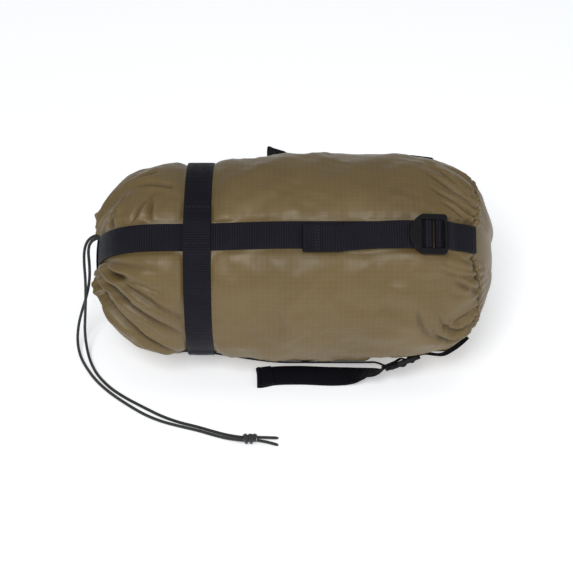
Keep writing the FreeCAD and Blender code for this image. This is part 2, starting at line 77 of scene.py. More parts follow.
floor_mesh = bpy.data.meshes.new("floor")
reach = 40.0
floor_drop = 0.4 * mm
floor_mesh.from_pydata([(-reach, -reach, -floor_drop), (reach, -reach, -floor_drop),
                        (reach, reach, -floor_drop), (-reach, reach, -floor_drop)], [], [(0, 1, 2, 3)])
floor = bpy.data.objects.new("floor", floor_mesh)
bpy.context.scene.collection.objects.link(floor)
paper = bpy.data.materials.new("white_table")
paper.use_nodes = True
paper.node_tree.nodes["Principled BSDF"].inputs["Base Color"].default_value = (0.93, 0.94, 0.96, 1)
paper.node_tree.nodes["Principled BSDF"].inputs["Roughness"].default_value = 0.75
paper.node_tree.nodes["Principled BSDF"].inputs["Emission Color"].default_value = (0.98, 0.99, 1.0, 1)
paper.node_tree.nodes["Principled BSDF"].inputs["Emission Strength"].default_value = 0.36
floor_mesh.materials.append(paper)

world = bpy.data.worlds.new("studio")
world.use_nodes = True
world.node_tree.nodes["Background"].inputs["Color"].default_value = (0.96, 0.98, 1.0, 1)
world.node_tree.nodes["Background"].inputs["Strength"].default_value = 0.33
bpy.context.scene.world = world
for name, spot, size, power in (("key", (-0.45, -1.5, 2.0), 0.9, 31), ("fill", (1.4, -1.2, 0.9), 0.9, 6),
                                ("top", (0.1, 0.3, 2.4), 1.6, 5)):
    lamp = bpy.data.objects.new(name, bpy.data.lights.new(name, "AREA"))
    lamp.data.size = size
    lamp.data.energy = power
    lamp.location = spot
    lamp.rotation_euler = (aim - Vector(spot)).to_track_quat("-Z", "Y").to_euler()
    bpy.context.scene.collection.objects.link(lamp)

# ---- drawcord ---------------------------------------------------------------------------
# Both ends of the 3 mm braided cord that closes the mouth. They leave the hem together, hang
# to the table and lie along it to one overhand knot, with two cut tips beyond.
cord_thick = 3.0 * mm
cord_routes = {
    "drawcord_end_1": [
        (-0.1755, 0.0031, 0.1170), (-0.1825, 0.0031, 0.1172), (-0.1895, 0.0030, 0.1170),
        (-0.1955, 0.0020, 0.1118), (-0.1975, 0.0000, 0.1030), (-0.1972, -0.0018, 0.0890),
        (-0.1980, -0.0046, 0.0725), (-0.2016, -0.0084, 0.0555), (-0.2078, -0.0140, 0.0385),
        (-0.2120, -0.0200, 0.0235), (-0.2132, -0.0275, 0.0098), (-0.2102, -0.0380, 0.0016),
        (-0.2030, -0.0536, 0.0016), (-0.1916, -0.0722, 0.0016), (-0.1764, -0.0889, 0.0016),
        (-0.1600, -0.1030, 0.0016), (-0.1427, -0.1164, 0.0016), (-0.1253, -0.1256, 0.0016),
        (-0.1082, -0.1314, 0.0016), (-0.0912, -0.1366, 0.0016), (-0.0743, -0.1433, 0.0016),
        (-0.0610, -0.1489, 0.0032), (-0.0498, -0.1521, 0.0051)],
    "drawcord_end_2": [
        (-0.1755, 0.0036, 0.1204), (-0.1825, 0.0036, 0.1206), (-0.1900, 0.0034, 0.1204),
        (-0.1972, 0.0018, 0.1154), (-0.2008, -0.0010, 0.1065), (-0.2018, -0.0046, 0.0935),
        (-0.2014, -0.0094, 0.0765), (-0.2022, -0.0144, 0.0580), (-0.2038, -0.0194, 0.0395),
        (-0.2052, -0.0254, 0.0225), (-0.2036, -0.0339, 0.0088), (-0.1996, -0.0460, 0.0016),
        (-0.1911, -0.0645, 0.0016), (-0.1772, -0.0820, 0.0016), (-0.1612, -0.0953, 0.0016),
        (-0.1433, -0.1074, 0.0016), (-0.1256, -0.1190, 0.0016), (-0.1084, -0.1269, 0.0016),
        (-0.0914, -0.1322, 0.0016), (-0.0746, -0.1389, 0.0016), (-0.0610, -0.1449, 0.0032),
        (-0.0498, -0.1485, 0.0051)]}
tip_routes = {
    "drawcord_tip_1": [(-0.0364, -0.1521, 0.0051), (-0.0270, -0.1531, 0.0042),
                       (-0.0166, -0.1552, 0.0019)],
    "drawcord_tip_2": [(-0.0364, -0.1485, 0.0051), (-0.0270, -0.1479, 0.0042),
                       (-0.0166, -0.1464, 0.0019)]}


class Shade:
    """A socket of a material's nodes; arithmetic on it adds Math nodes."""

    def __init__(self, tree, socket=None):
        self.tree = tree
        self.socket = socket

    def node(self, kind, sockets=None, output=0, stops=(), **settings):
        """Add a node: its settings first, then the values or links of its sockets."""
        made = self.tree.nodes.new(kind)
        for name, value in settings.items():
            setattr(made, name, value)
        if stops:
            made.color_ramp.elements[0].position, made.color_ramp.elements[0].color = stops[0]
            made.color_ramp.elements[1].position, made.color_ramp.elements[1].color = stops[-1]
            for place, colour in stops[1:-1]:
                made.color_ramp.elements.new(place).color = colour
        for name, value in (sockets or {}).items():
            if isinstance(value, Shade):
                self.tree.links.new(value.socket, made.inputs[name])
            else:
                made.inputs[name].default_value = value
        return Shade(self.tree, made.outputs[output])

    def maths(self, operation, first, second=0.0):
        return self.node("ShaderNodeMath", {0: first, 1: second}, operation=operation)

    def __add__(self, other):
        return self.maths("ADD", self, other)

    __radd__ = __add__

    def __mul__(self, other):
        return self.maths("MULTIPLY", self, other)

    __rmul__ = __mul__

    def __sub__(self, other):
        return self.maths("SUBTRACT", self, other)

    def __rsub__(self, other):
        return self.maths("SUBTRACT", other, self)

    def __pow__(self, other):
        return self.maths("POWER", self, other)

    def tint(self, low, high):
        """A colour between two, by this value."""
        return self.node("ShaderNodeMix", {0: self, 6: (*low, 1), 7: (*high, 1)}, output=2,
                         data_type="RGBA")


def finish_of(name, colours, roughness, grain, depth, **constants):
    """A material whose surface is described by `grain`, a function of its place in the weave."""
    made = bpy.data.materials.new(name)
    made.use_nodes = True
    shader = made.node_tree.nodes["Principled BSDF"]
    start = Shade(made.node_tree)
    place = start.node("ShaderNodeAttribute", attribute_name="weave", output="Vector")
    height, patch = grain(start, place)
    base = patch.tint(*colours)
    rough = patch * (roughness[1] - roughness[0]) + roughness[0]
    bump = start.node("ShaderNodeBump", {"Height": height, "Distance": depth, "Strength": 1.0})
    made.node_tree.links.new(base.socket, shader.inputs["Base Color"])
    made.node_tree.links.new(rough.socket, shader.inputs["Roughness"])
    made.node_tree.links.new(bump.socket, shader.inputs["Normal"])
    for socket, value in constants.items():
        shader.inputs[socket.replace("_", " ")].default_value = value
    return made


def build(name, spots, faces, materials, marks=None, kinds=None):
    """A smooth mesh object; `marks` are its points' places in the weave, in metres."""
    mesh = bpy.data.meshes.new(name)
    mesh.from_pydata([tuple(p) for p in np.asarray(spots, float)], [], [tuple(f) for f in faces])
    mesh.shade_smooth()
    for material in materials:
        mesh.materials.append(material)
    if marks is not None:
        weave = mesh.attributes.new("weave", "FLOAT_VECTOR", "POINT")
        weave.data.foreach_set("vector", np.asarray(marks, np.float32).ravel())
    if kinds is not None:
        mesh.polygons.foreach_set("material_index", np.asarray(kinds, np.int32))
    made = bpy.data.objects.new(name, mesh)
    bpy.context.scene.collection.objects.link(made)
    return made


def grid_faces(rows, columns, closed, first=0):
    """Four-sided faces over a grid of points whose columns may close on themselves."""
    faces = []
    for i in range(rows - 1):
        for j in range(columns if closed else columns - 1):
            after = (j + 1) % columns
            faces.append((first + i * columns + j, first + i * columns + after,
                          first + (i + 1) * columns + after, first + (i + 1) * columns + j))
    return faces


def along(points, step):
    """Even points, their directions and distances on a smooth line through `points`."""
    points = np.array([tuple(p) for p in points], float)
    marks = np.concatenate([[0], np.cumsum(np.linalg.norm(np.diff(points, axis=0), axis=1))])
    slopes = np.gradient(points, marks, axis=0)
    count = max(int(round(marks[-1] / step)), 2)
    at = np.linspace(0, marks[-1], count + 1)
    k = np.clip(np.searchsorted(marks, at, side="right") - 1, 0, len(marks) - 2)
    width = (marks[k + 1] - marks[k])[:, None]
    t = ((at - marks[k]) / width[:, 0])[:, None]
    spots = ((2 * t ** 3 - 3 * t ** 2 + 1) * points[k] + (t ** 3 - 2 * t ** 2 + t) * width * slopes[k]
             + (3 * t ** 2 - 2 * t ** 3) * points[k + 1] + (t ** 3 - t ** 2) * width * slopes[k + 1])
    ways = np.gradient(spots, at, axis=0)
    return spots, ways / np.linalg.norm(ways, axis=1)[:, None], at


def cord_line(name, route):
    """The smooth line that a limp cord takes over the points of its route."""
    curve = bpy.data.curves.new(name, "CURVE")
    curve.dimensions = "3D"
    spline = curve.splines.new("NURBS")
    spline.points.add(len(route) - 1)
    for point, spot in zip(spline.points, route):
        point.co = (*spot, 1)
    spline.order_u = 3
    spline.use_endpoint_u = True
    spline.resolution_u = 10
    holder = bpy.data.objects.new(name, curve)
    mesh = bpy.data.meshes.new_from_object(holder)
    line = [tuple(v.co) for v in mesh.vertices]
    bpy.data.objects.remove(holder)
    return line


def braid(name, line, thick, material, around=16, step=0.55 * mm, taper=0.0):
    """A braided cord: strands cross over each other all along the tube."""
    spots, ways, at = along(line, step)
    side = np.cross(ways[0], (0.3, 0.2, 1.0))
    verts = []
    marks = []
    carriers = 8
    lay_length = 7.0 * mm
    for spot, way, s in zip(spots, ways, at):
        side = side - way * (side @ way)
        side /= np.linalg.norm(side)
        other = np.cross(way, side)
        shrink = 1.0 - taper * max(0.0, s / at[-1] - 0.9) * 10
        for j in range(around):
            angle = 2 * math.pi * j / around
            weave = math.sin(carriers / 2 * (angle + 2 * math.pi * s / lay_length)) * math.sin(
                carriers / 2 * (angle - 2 * math.pi * s / lay_length))
            radius = thick / 2 * (0.95 + 0.06 * weave) * shrink
            verts.append(spot + (side * math.cos(angle) + other * math.sin(angle)) * radius)
            marks.append((s, angle * thick / 2, 0))
    faces = grid_faces(len(spots), around, True)
    faces.append(tuple(range(around))[::-1])
    faces.append(tuple(range(len(verts) - around, len(verts))))
    return build(name, verts, faces, [material], marks)


def braid_grain(start, place):
    split = start.node("ShaderNodeSeparateXYZ", {0: place})
    length = Shade(start.tree, split.socket.node.outputs[0])
    girth_way = Shade(start.tree, split.socket.node.outputs[1])
    pick = start.maths("SINE", length * (2 * math.pi / (0.9 * mm)) + girth_way * (2 * math.pi / (1.2 * mm)))
    fleck = start.node("ShaderNodeTexNoise", {"Vector": place, "Scale": 900.0, "Detail": 2.0})
    return pick * 0.5 + fleck, fleck


cord_black = finish_of("black_braided_cord", ((0.007, 0.007, 0.008), (0.022, 0.022, 0.024)),
                       (0.55, 0.75), braid_grain, 0.12 * mm, Sheen_Weight=0.25)
cords = {}
for name, route in cord_routes.items():
    line = cord_line(name, route)
    cords[name] = braid("cord_" + name[-1], line, cord_thick, cord_black)
    cords[name + "_line"] = line
for name, route in tip_routes.items():
    tip = braid("cord_tip_" + name[-1], cord_line(name, route), cord_thick, cord_black, taper=0.35)
    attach(tip, "mouth_end")
    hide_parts(name)

# The knot: the pair of cords makes two wraps about itself and a band crosses over them.
knot_low, knot_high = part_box("drawcord_knot")
knot_middle = (knot_low + knot_high) / 2
knot_half = (knot_high.x - knot_low.x) / 2
wraps = 2.3
knot_strand = 1.65 * mm
turns = []
for i in range(90):
    share = i / 89
    angle = 2 * math.pi * wraps * share
    reach_out = (knot_high.z - knot_low.z) / 2 - knot_strand
    lean = 0.9 * mm * math.sin(angle)
    turns.append(knot_middle + Vector(((share - 0.5) * (knot_half * 2 - 3.4 * mm) + lean,
                                       reach_out * math.cos(angle), reach_out * math.sin(angle))))
knot = braid("cord_knot_wraps", turns, knot_strand * 2, cord_black)
band = [knot_middle + Vector((t * knot_half * 0.9, math.sin(t * 1.4) * 2.2 * mm,
                              math.cos(t * 1.5) * (reach_out + 0.6 * mm))) for t in
        np.linspace(-1, 1, 13)]
knot_band = braid("cord_knot_band", band, knot_strand * 1.8, cord_black)
core = braid("cord_knot_core", [knot_middle + Vector((t * knot_half * 0.95, 0, 0)) for t in
                                (-1, -0.3, 0.3, 1)], 6.2 * mm, cord_black)
for part in (knot, knot_band, core):
    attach(part, "mouth_end")
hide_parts("drawcord_knot")
for name in cord_routes:
    cord = cords[name]
    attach(cord, "mouth_end")
    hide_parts(name)
    line = np.array(cords[name + "_line"])
    long = float(np.linalg.norm(np.diff(line, axis=0), axis=1).sum())
loop = frame["nodes"]["drawcord_loop"]
loop.data.materials.clear()
loop.data.materials.append(cord_black)

# ---- sack panels ------------------------------------------------------------------------
# Thin coyote-brown ripstop nylon: a tube with one seam underneath, gathered into the hem at
# the mouth and into a round base panel. The stuffing fills it, the straps press into it, and
# the spare cloth at both ends falls into folds. It flattens where it lies on the table.
side_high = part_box("side_panel")[1]
base_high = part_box("base_panel")[1]
mouth_x = -base_high.x
base_x = base_high.x
sack_radius = side_high.y
neck_radius = 88.0 * mm
neck_rise = 100.0 * mm
mouth_dome = 80.0 * mm
base_dome = 106.0 * mm
dome_along = 3.0
dome_across = 2.1
axis_height = 95.0 * mm
neck_x = mouth_x + mouth_dome
shoulder_x = base_x - base_dome
seam_x = side_high.x
strap_rolls = {"upper_front": -37.0, "upper_rear": 70.0, "lower_rear": 143.0, "lower_front": -136.0}
ring_low, ring_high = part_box("ring_strap")
ring_x = (ring_low.x + ring_high.x) / 2
mouth_edge = 31.0 * mm
joints = {j["name"]: j for j in frame["joints"]}


def girth(x):
    """Radius of the cloth at station x, and the direction that it faces."""
    rise = min(max((x - neck_x) / neck_rise, 0.0), 1.0)
    radius = neck_radius + (sack_radius - neck_radius) * rise * rise * (3 - 2 * rise)
    slope = (sack_radius - neck_radius) * 6 * rise * (1 - rise) / neck_rise
    if neck_x <= x <= shoulder_x:
        tilt = math.hypot(slope, 1.0)
        return radius, (-slope / tilt, 1.0 / tilt)
    if x < neck_x:
        share = min((neck_x - x) / mouth_dome, 1.0)
        end = -1.0
        length = mouth_dome
    else:
        share = min((x - shoulder_x) / base_dome, 1.0)
        end = 1.0
        length = base_dome
    across = max(1.0 - share ** dome_along, 1e-9) ** (1.0 / dome_across)
    face_x = end * dome_along * share ** (dome_along - 1) / length
    face_r = dome_across * across ** (dome_across - 1) / radius
    tilt = math.hypot(face_x, face_r)
    return radius * across, (face_x / tilt, face_r / tilt)


def outline():
    """Dense stations along the cloth from pole to pole: x, radius, facing and distance run."""
    turn = np.linspace(math.pi / 2, 0, 500)
    stations = np.concatenate([neck_x - mouth_dome * np.sin(turn) ** (2 / dome_along),
                               np.linspace(neck_x, shoulder_x, 300)[1:-1],
                               (shoulder_x + base_dome * np.sin(turn) ** (2 / dome_along))[::-1]])
    rows = [(x, *girth(x)) for x in stations]
    xs = np.array([row[0] for row in rows])
    rs = np.array([row[1] for row in rows])
    faces = np.array([row[2] for row in rows])
    run = np.concatenate([[0], np.cumsum(np.hypot(np.diff(xs), np.diff(rs)))])
    return xs, rs, faces[:, 0], faces[:, 1], run


line_x, line_r, line_fx, line_fr, line_run = outline()


def skin(run):
    """x, radius and facing of the cloth's even outline after a distance run from the mouth."""
    return [np.interp(run, line_run, values) for values in (line_x, line_r, line_fx, line_fr)]


def run_at(x):
    return float(np.interp(x, line_x, line_run))


def stand(run, roll, lift):
    """Points `lift` off the cloth's outline at a distance run and an angle round the sack."""
    x, r, fx, fr = skin(run)
    out = r + fr * lift
    return np.stack([x + fx * lift, out * np.sin(roll), axis_height + out * np.cos(roll)], axis=-1)


def waves(spots, size, seed, count=16):
    """Smooth irregular swell of about -1 to 1, with bumps `size` across."""
    draw = np.random.default_rng(seed)
    ways = draw.normal(size=(count, 3))
    ways /= np.linalg.norm(ways, axis=1)[:, None]
    pitch = 2 * math.pi / size * draw.uniform(0.6, 1.4, count)
    start = draw.uniform(0, 2 * math.pi, count)
    return np.cos((spots @ ways.T) * pitch + start).sum(-1) / math.sqrt(count / 2) * 0.7


def step(value, low, high):
    share = np.clip((value - low) / (high - low), 0, 1)
    return share * share * (3 - 2 * share)


def pleat(angle):
    """Rounded lobes with sharp valleys between them, -1 to 1."""
    return 2 * np.abs(np.sin(angle / 2)) ** 0.75 - 1


def apart(roll, side):
    """Angle from a strap, in radians, 0 to pi."""
    turn = np.abs(roll - math.radians(strap_rolls[side])) % (2 * math.pi)
    return np.minimum(turn, 2 * math.pi - turn)


def seam_run(roll):
    """How far from the mouth the base seam lies: the anchors pull it back, scalloping it."""
    pull = np.cos(4 * (roll - math.radians(strap_rolls["upper_front"])))
    return run_at(seam_x) + 2.0 * mm - 5.5 * mm * pull


def held(run, roll):
    """1 where a strap or the ring lies on the cloth, 0 away from them."""
    x, r, _, _ = skin(run)
    under = step(-np.abs(x - ring_x), -16 * mm, -12.5 * mm)
    for side in strap_rolls:
        under = np.maximum(under, step(-apart(roll, side) * r, -17 * mm, -12.5 * mm))
    return under


def crease(run, roll, places, wide, deep, fixed_end):
    """One fold along a bent line of places (station in mm, roll in degrees): a valley beside a
    high ridge. It fades at both ends, or only at its start where a seam holds the other one."""
    share = np.linspace(0, 1, 40)[:, None]
    ends = np.array([(run_at(x * mm), math.radians(angle)) for x, angle in places])
    bend = 2 * ends[1] - (ends[0] + ends[2]) / 2
    line = (1 - share) ** 2 * ends[0] + 2 * share * (1 - share) * bend + share ** 2 * ends[2]
    line_at, line_roll = line.T
    middle = line_roll.mean()
    lift = np.zeros(np.shape(run))
    turn = (roll - middle + math.pi) % (2 * math.pi) - math.pi
    local = np.interp(run, line_run, line_r)
    margin = 5 * wide
    near = (run > line_at.min() - margin) & (run < line_at.max() + margin)
    near &= np.abs(turn) * local < np.ptp(line_roll) / 2 * local + margin
    if not near.any():
        return lift
    du = run[near][:, None] - line_at
    dv = (turn[near][:, None] - (line_roll - middle)) * local[near][:, None]
    far = np.hypot(du, dv)
    k = far.argmin(1)
    pick = np.arange(len(k))
    way_u = np.gradient(line_at)[k]
    way_v = np.gradient(line_roll)[k] * local[near]
    sign = np.sign(way_u * dv[pick, k] - way_v * du[pick, k])
    off = far[pick, k] * sign / wide
    fade = np.sin(math.pi * share[k, 0] * (0.5 if fixed_end else 1.0)) ** 0.7
    high_ridge = 0.75 * np.exp(-((off - 1.7) / 1.1) ** 2)
    low_ridge = 0.3 * np.exp(-((off + 2.0) / 1.4) ** 2)
    lift[near] = deep * fade * (high_ridge + low_ridge - np.exp(-off ** 2))
    return lift


# Folds seen on the front: station (mm) and roll (degrees) along each, then width and depth (mm)
# and whether a seam holds the far end.
front_folds = (
    (((-108, -121), (-148, -102), (-179, -80)), 3.4, 6.8, True),
    (((-124, -114), (-150, -100), (-176, -88)), 2.6, 4.9, True),
    (((-104, -103), (-134, -88), (-172, -70)), 3.6, 4.6, True),
    (((-102, -90), (-130, -76), (-170, -58)), 3.0, 3.0, True),
    (((-122, -70), (-146, -64), (-172, -60)), 2.2, 2.3, True),
    (((-158, 4), (-164, -12), (-168, -26)), 3.4, 4.1, False),
    (((-136, -8), (-142, -18), (-150, -27)), 2.4, 3.0, False),
    (((-133, -4), (-132, -16), (-133, -27)), 2.2, 2.7, False),
    (((-146, -26), (-139, -28), (-131, -29)), 1.8, 1.6, False),
    (((-128, 16), (-150, 16), (-178, 24)), 3.6, 4.6, True),
    (((-112, -2), (-124, 2), (-146, 6)), 3.0, 2.2, False),
    (((-22, -70), (-18, -86), (-14, -101)), 8.0, 2.5, False),
    (((36, -72), (70, -77), (108, -75)), 9.0, 2.0, False),
    (((60, -96), (84, -92), (104, -98)), 7.0, 1.5, False),
    (((118, 6), (142, -2), (162, -10)), 2.8, 3.9, True),
    (((120, -6), (140, -12), (162, -20)), 2.4, 3.4, True),
    (((132, 14), (148, 6), (163, 0)), 2.4, 3.1, True),
    (((127, -17), (142, -19), (160, -26)), 2.2, 2.4, True),
    (((124, -33), (134, -28), (146, -22)), 1.7, 1.5, False),
    (((116, -74), (136, -104), (162, -99)), 3.2, 5.4, True),
    (((123, -74), (142, -97), (162, -94)), 2.6, 4.3, True),
    (((108, -76), (116, -92), (130, -104)), 3.6, 3.0, False),
    (((140, -60), (150, -66), (164, -74)), 2.4, 2.4, True),
    (((96, -58), (120, -62), (140, -58)), 5.0, 1.6, False))
end_folds = []
draw = np.random.default_rng(21)
for i in range(34):
    turn_to = -170 + 360 * i / 34 + draw.uniform(-4, 4)
    slant = draw.uniform(-9, 9)
    long = draw.uniform(16, 46)
    line = ((162 - long, turn_to + slant), (162 - long * 0.45, turn_to + slant * 0.4), (163, turn_to))
    end_folds.append((line, draw.uniform(1.8, 2.9), draw.uniform(0.9, 2.4), True))
for i in range(26):
    turn_to = -176 + 360 * i / 26 + draw.uniform(-5, 5)
    slant = draw.uniform(-12, 12)
    long = draw.uniform(22, 66)
    line = ((long - 182, turn_to + slant), (long * 0.5 - 182, turn_to + slant * 0.4), (-183, turn_to))
    end_folds.append((line, draw.uniform(2.2, 3.4), draw.uniform(1.0, 2.6), True))


def folds(run, roll):
    """The part of the cloth's relief that is folds; its material paints shade into them, darker the deeper
    they are.
    """
    from_seam = np.abs(run - seam_run(roll))
    deep = -3.0 * mm * np.exp(-(from_seam / (2.4 * mm)) ** 2)
    for places, wide, depth, fixed_end in (*front_folds, *end_folds):
        if wide < 5:
            deep = deep + crease(run, roll, places, wide * mm, depth * mm, fixed_end)
    return deep


def relief(run, roll):
    """How far the cloth stands off its even outline."""
    run = np.asarray(run, float)
    roll = np.asarray(roll, float) + 0 * run
    run = run + 0 * roll
    x, r, _, _ = skin(run)
    spots = stand(run, roll, 0 * run)
    swell = 1.5 * mm * waves(spots, 95 * mm, 3) + 0.8 * mm * waves(spots, 38 * mm, 4)
    swell += 0.35 * mm * waves(spots, 15 * mm, 5) * (0.4 + 0.6 * np.abs(waves(spots, 90 * mm, 6)))
    beside = np.abs(x - ring_x)
    swell += 1.6 * mm * step(beside, 13 * mm, 24 * mm) * step(-beside, -48 * mm, -24 * mm)
    on_dome = step(-x, -neck_x - 8 * mm, -neck_x + 24 * mm)
    for side in strap_rolls:
        reach_of = apart(roll, side) * r
        puff = (1.5 + 3.2 * on_dome * (side == "lower_front")) * mm
        swell += puff * step(reach_of, 13 * mm, 24 * mm) * step(-reach_of, -56 * mm, -26 * mm)
    to_mouth = step(-r, -84 * mm, -40 * mm) * (x < 0)
    wander = 1.3 * waves(spots, 60 * mm, 7)
    gathers = pleat(24 * roll + 2.2 * np.sin(3 * roll + 0.7) + 1.7 * np.sin(5 * roll + 2.1) + wander)
    swell += 1.9 * mm * gathers * to_mouth ** 1.5
    from_seam = np.abs(run - seam_run(roll))
    shirring = pleat(46 * roll + 2.5 * np.sin(4 * roll + 0.4) + 2.0 * np.sin(7 * roll + 1.1)
                     + 0.9 * waves(spots, 30 * mm, 11))
    swell += 1.7 * mm * shirring * np.exp(-from_seam / (9 * mm))
    over_anchor = np.exp(-((x - 150 * mm) / (15 * mm)) ** 2 - ((roll + math.radians(124)) / 0.085) ** 2)
    swell += 5.2 * mm * over_anchor
    for places, wide, deep, fixed_end in (*front_folds, *end_folds):
        swell += crease(run, roll, places, wide * mm, deep * mm, fixed_end)
    swell -= 3.0 * mm * np.exp(-(from_seam / (2.4 * mm)) ** 2)
    under = held(run, roll)
    swell = swell * (1 - under) - 0.45 * mm * under
    # the low front buckle's dent
    bar = joints["lock_tilt_lower_front"]["pos_m"][0]
    near = step(-apart(roll, "lower_front") * r, -31 * mm, -22 * mm)
    near = near * step(x, bar - 44 * mm, bar - 29 * mm)
    floor_of_dent = girth(bar)[0] - 8.6 * mm
    return swell * (1 - near) + near * np.minimum(floor_of_dent - r, 0.0)


def settled(spots):
    """The cloth flattens on the table."""
    low = 0.15 * mm
    soft = 1.2 * mm
    z = spots[..., 2]
    spots[..., 2] = low + soft * np.logaddexp(0, (z - low) / soft)
    return spots


def fabric_grain(start, place):
    """Ripstop: a fine weave with a square grid of thicker threads, and painted shade deep in its folds."""
    split = start.node("ShaderNodeSeparateXYZ", {0: place})
    length = Shade(start.tree, split.socket.node.outputs[0])
    round_it = Shade(start.tree, split.socket.node.outputs[1])
    fold_depth_for_painted_shade = Shade(start.tree, split.socket.node.outputs[2])
    grid = 0.0
    fine = 0.0
    for way in (length, round_it):
        swing = start.maths("SINE", way * (2 * math.pi / (5.0 * mm))) * 0.5 + 0.5
        grid = start.maths("MAXIMUM", grid, swing ** 14.0)
        fine = start.maths("SINE", way * (2 * math.pi / (1.1 * mm))) * 0.12 + fine
    slub = start.node("ShaderNodeTexNoise", {"Vector": place, "Scale": 60.0, "Detail": 5.0})
    blotch = start.node("ShaderNodeTexNoise", {"Vector": place, "Scale": 14.0, "Detail": 3.0})
    # painted shade: the colour darkens with the depth of the fold at this point, the seam groove included
    deep = start.maths("MAXIMUM", fold_depth_for_painted_shade * -240.0, 0.0)
    return grid * 0.8 + fine + slub * 1.2, blotch * 0.7 + grid * 0.14 + 0.44 + slub * 0.1 - deep


coyote = finish_of("coyote_ripstop", ((0.050, 0.032, 0.011), (0.158, 0.108, 0.040)), (0.56, 0.42),
                   fabric_grain, 0.06 * mm, Specular_IOR_Level=0.42)
tan_thread = finish_of("tan_thread", ((0.30, 0.22, 0.12), (0.46, 0.36, 0.22)), (0.6, 0.7), braid_grain,
                       0.05 * mm)

rows = 121
columns = 200
rolls = np.linspace(-math.pi, math.pi, columns, endpoint=False)
mouth_run = float(np.interp(mouth_edge, line_r[:400], line_run[:400]))


def side_runs(count):
    """Distance run at each row and column of the side panel's mesh, up to the scalloped seam."""
    share = np.linspace(0, 1, count)[:, None]
    even = mouth_run + share * (run_at(seam_x) - mouth_run)
    pulled = (seam_run(rolls) - run_at(seam_x))[None, :]
    return even + pulled * step(share, 0.7, 1.0)


def twice(values, closed):
    """A grid of values made twice as fine; closed columns are angles that go on round."""
    finer = np.empty((2 * len(values) - 1, values.shape[1]))
    finer[0::2] = values
    finer[1::2] = (values[1:] + values[:-1]) / 2
    after = np.roll(finer, -1, axis=1)
    if closed:
        after[:, -1] += 2 * math.pi
    return np.stack([finer, (finer + after) / 2], axis=-1).reshape(len(finer), -1)


def panel(name, runs, angles, presses, cap=False):
    """A cloth panel over the stuffing, with its gathers and creases, pressed flat on the table."""
    runs = twice(runs, False)
    angles = twice(angles, True)
    spots = stand(runs, angles, relief(runs, angles))
    for _ in range(presses):
        spots = settled(spots)
    # fold depth, carried in the marks' third value so that the material paints shade into the creases
    deep = folds(runs, angles)
    marks = np.stack([runs, angles * sack_radius, deep], axis=-1)
    faces = grid_faces(*runs.shape, True)
    if cap:
        marks = np.stack([spots[..., 1], spots[..., 2], deep], axis=-1)
        faces.append(tuple(range(runs.size - runs.shape[1], runs.size)))
    return build(name, spots.reshape(-1, 3), faces, [coyote], marks.reshape(-1, 3))


runs = side_runs(rows)
angles = np.broadcast_to(rolls, runs.shape)
side_cloth = panel("side_cloth", runs, angles, 2)
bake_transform(side_cloth)
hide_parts("side_panel")

base_rows = 42
inward = np.linspace(0, 1, base_rows)[:, None]
pole_run = line_run[-1] - 0.3 * mm
base_runs = seam_run(rolls)[None, :] * (1 - inward) + pole_run * inward
base_cloth = panel("base_cloth", base_runs, np.broadcast_to(rolls, base_runs.shape), 1, cap=True)
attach(base_cloth, "sack")
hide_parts("base_panel")

# ---- packed sleeping bag ------------------------------------------------------------------
# A quilted synthetic bag stuffed inside, a few millimetres behind the cloth all over.
stuffing_rows = 90
stuffing_columns = 140
inner_rolls = np.linspace(-math.pi, math.pi, stuffing_columns, endpoint=False)
inner_runs = np.linspace(mouth_run * 1.02, pole_run, stuffing_rows)[:, None] + 0 * inner_rolls
inner_angles = np.broadcast_to(inner_rolls, inner_runs.shape)
quilting = np.abs(np.sin(inner_runs / (48 * mm) * math.pi)) ** 0.5 * 2.5 * mm
inner_lift = quilting - 13.0 * mm + 0 * inner_angles
inner_spots = stand(inner_runs, inner_angles, inner_lift)
inner_spots[..., 2] = np.maximum(inner_spots[..., 2], 3.0 * mm)
inner_faces = grid_faces(stuffing_rows, stuffing_columns, True)
inner_faces.append(tuple(range(stuffing_columns))[::-1])
inner_faces.append(tuple(range((stuffing_rows - 1) * stuffing_columns, stuffing_rows * stuffing_columns)))
olive_shell = finish_of("olive_bag_shell", ((0.035, 0.045, 0.028), (0.07, 0.085, 0.055)), (0.5, 0.6),
                        fabric_grain, 0.1 * mm)
inner_marks = np.stack([inner_runs, inner_angles * sack_radius, 0 * inner_runs], axis=-1).reshape(-1, 3)
stuffing = build("packed_bag", inner_spots.reshape(-1, 3), inner_faces, [olive_shell], inner_marks)
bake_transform(stuffing)
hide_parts("packed_sleeping_bag")

# ---- gathered mouth -----------------------------------------------------------------------
# The tube's hem, turned over the drawcord and drawn shut into a rosette of pleats. The cord
# ends come out just above the middle.
collar_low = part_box("mouth_collar")[0]
hole = 7.0 * mm
rosette_rows = 34
rosette_columns = 400
petal_rolls = np.linspace(-math.pi, math.pi, rosette_columns, endpoint=False)
inward = np.linspace(0, 1, rosette_rows)[:, None]
flat_share = np.clip(inward / 0.72, 0, 1)
deep_share = np.clip((inward - 0.72) / 0.28, 0, 1)
ring_of = mouth_edge + 0.6 * mm + (hole - mouth_edge) * flat_share + 0 * petal_rolls
edge_run = mouth_run + 0 * petal_rolls
edge_spots = stand(edge_run, petal_rolls, relief(edge_run, petal_rolls))
wander = 2.2 * np.sin(3 * petal_rolls + 0.7) + 1.7 * np.sin(5 * petal_rolls + 2.1)
petals = pleat(24 * petal_rolls + wander + 0.8 * inward)
channel = np.exp(-((ring_of - 24 * mm) / (4.2 * mm)) ** 2)
front = collar_low.x - 0.2 * mm - 1.2 * mm * channel
rosette_x = front - petals * (1.5 * mm + 0.7 * mm * flat_share) * (1 - deep_share)
rosette_x = np.maximum(rosette_x, mouth_x + 0.35 * mm) + deep_share ** 1.5 * 11 * mm
rosette_x[0] = edge_spots[:, 0]
ring_of = ring_of + 1.1 * mm * petals * deep_share
rosette_spots = np.stack([rosette_x, ring_of * np.sin(petal_rolls),
                          axis_height + ring_of * np.cos(petal_rolls)], axis=-1)
